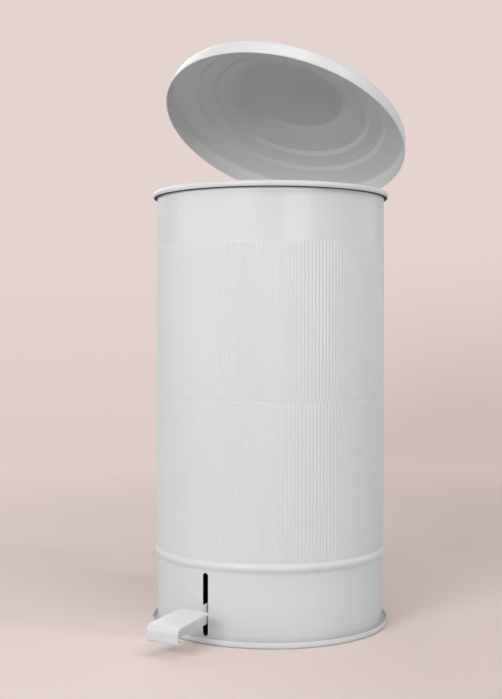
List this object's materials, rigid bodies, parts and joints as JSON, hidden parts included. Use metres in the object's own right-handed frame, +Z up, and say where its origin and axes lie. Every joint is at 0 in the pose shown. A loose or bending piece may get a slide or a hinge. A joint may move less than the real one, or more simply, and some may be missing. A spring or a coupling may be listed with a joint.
{
  "type": "pedal trash can",
  "caption": "Round steel pedal bin with a hinged domed lid, fine vertical flutes, a plain base band with a slotted foot lever, a rear push rod and a lift-out inner bucket.",
  "frame": {"origin": "on the floor at the axis of the round body", "axes": "+Z up, the pedal points along -Y, the lid's hinge is at +Y, X across"},
  "size_m": [0.2774, 0.4051, 0.6249],
  "materials": {
    "body_paint": "white powder coat, satin",
    "lid_paint": "white powder coat, satin",
    "pedal_paint": "white powder coat, satin",
    "zinc_steel": "zinc plated",
    "bucket_plastic": "moulded, fine grain",
    "grip_plastic": "moulded",
    "seal_rubber": "moulded, matt",
    "bush_plastic": "nylon"
  },
  "bodies": {
    "bin": {"outer_shell": "body_paint", "base_skirt": "body_paint", "rim_hoop": "body_paint", "rim_seal": "seal_rubber", "base_hoop": "body_paint", "base_pan": "zinc_steel", "bucket_shelf": "zinc_steel", "hinge_bracket": "body_paint", "hinge_bracket_rivets": "zinc_steel", "hinge_pin": "zinc_steel", "hinge_pin_clip": "zinc_steel", "hinge_washers": "bush_plastic", "pedal_bracket": "zinc_steel", "pedal_bracket_rivets": "zinc_steel", "pedal_axle": "zinc_steel", "pedal_axle_clip": "zinc_steel", "pedal_spacers": "bush_plastic", "rod_guide_upper": "body_paint", "rod_guide_lower": "body_paint", "rod_guide_rivets": "zinc_steel", "rod_bushes": "bush_plastic"},
    "lid": {"lid_shell": "lid_paint", "lid_arms": "lid_paint", "lid_hinge_tube": "zinc_steel"},
    "pedal": {"pedal_lever": "pedal_paint", "pedal_tread": "pedal_paint"},
    "rod": {"push_rod": "zinc_steel", "rod_clips": "zinc_steel"},
    "bucket": {"inner_bucket": "bucket_plastic", "bail_ears": "bucket_plastic"},
    "bail": {"bail_handle": "zinc_steel", "bail_grip": "grip_plastic"}
  },
  "joints": [
    {"name": "lid_hinge", "type": "hinge", "parent": "bin", "child": "lid", "pos_m": [0, 0.198, 0.444], "axis": [-1, 0, 0], "range_deg": [-28, 16]},
    {"name": "pedal_pivot", "type": "hinge", "parent": "bin", "child": "pedal", "pos_m": [0, 0.046, 0.0465], "axis": [1, 0, 0], "range_deg": [-5.6, 3.2]},
    {"name": "rod_slide", "type": "slide", "parent": "bin", "child": "rod", "axis": [0, 0, 1], "range_m": [-0.0124, 0.00708]},
    {"name": "bucket_lift", "type": "slide", "parent": "bin", "child": "bucket", "axis": [0, 0, 1], "range_m": [0, 0.008]},
    {"name": "bail_swing", "type": "hinge", "parent": "bucket", "child": "bail", "pos_m": [0, 0, 0.438], "axis": [-1, 0, 0], "range_deg": [0, 12]}
  ],
  "couplings": [
    {"joint": "pedal_pivot", "follows": "lid_hinge", "ratio": 0.2},
    {"joint": "rod_slide", "follows": "lid_hinge", "m_per_rad": 0.02533}
  ]
}
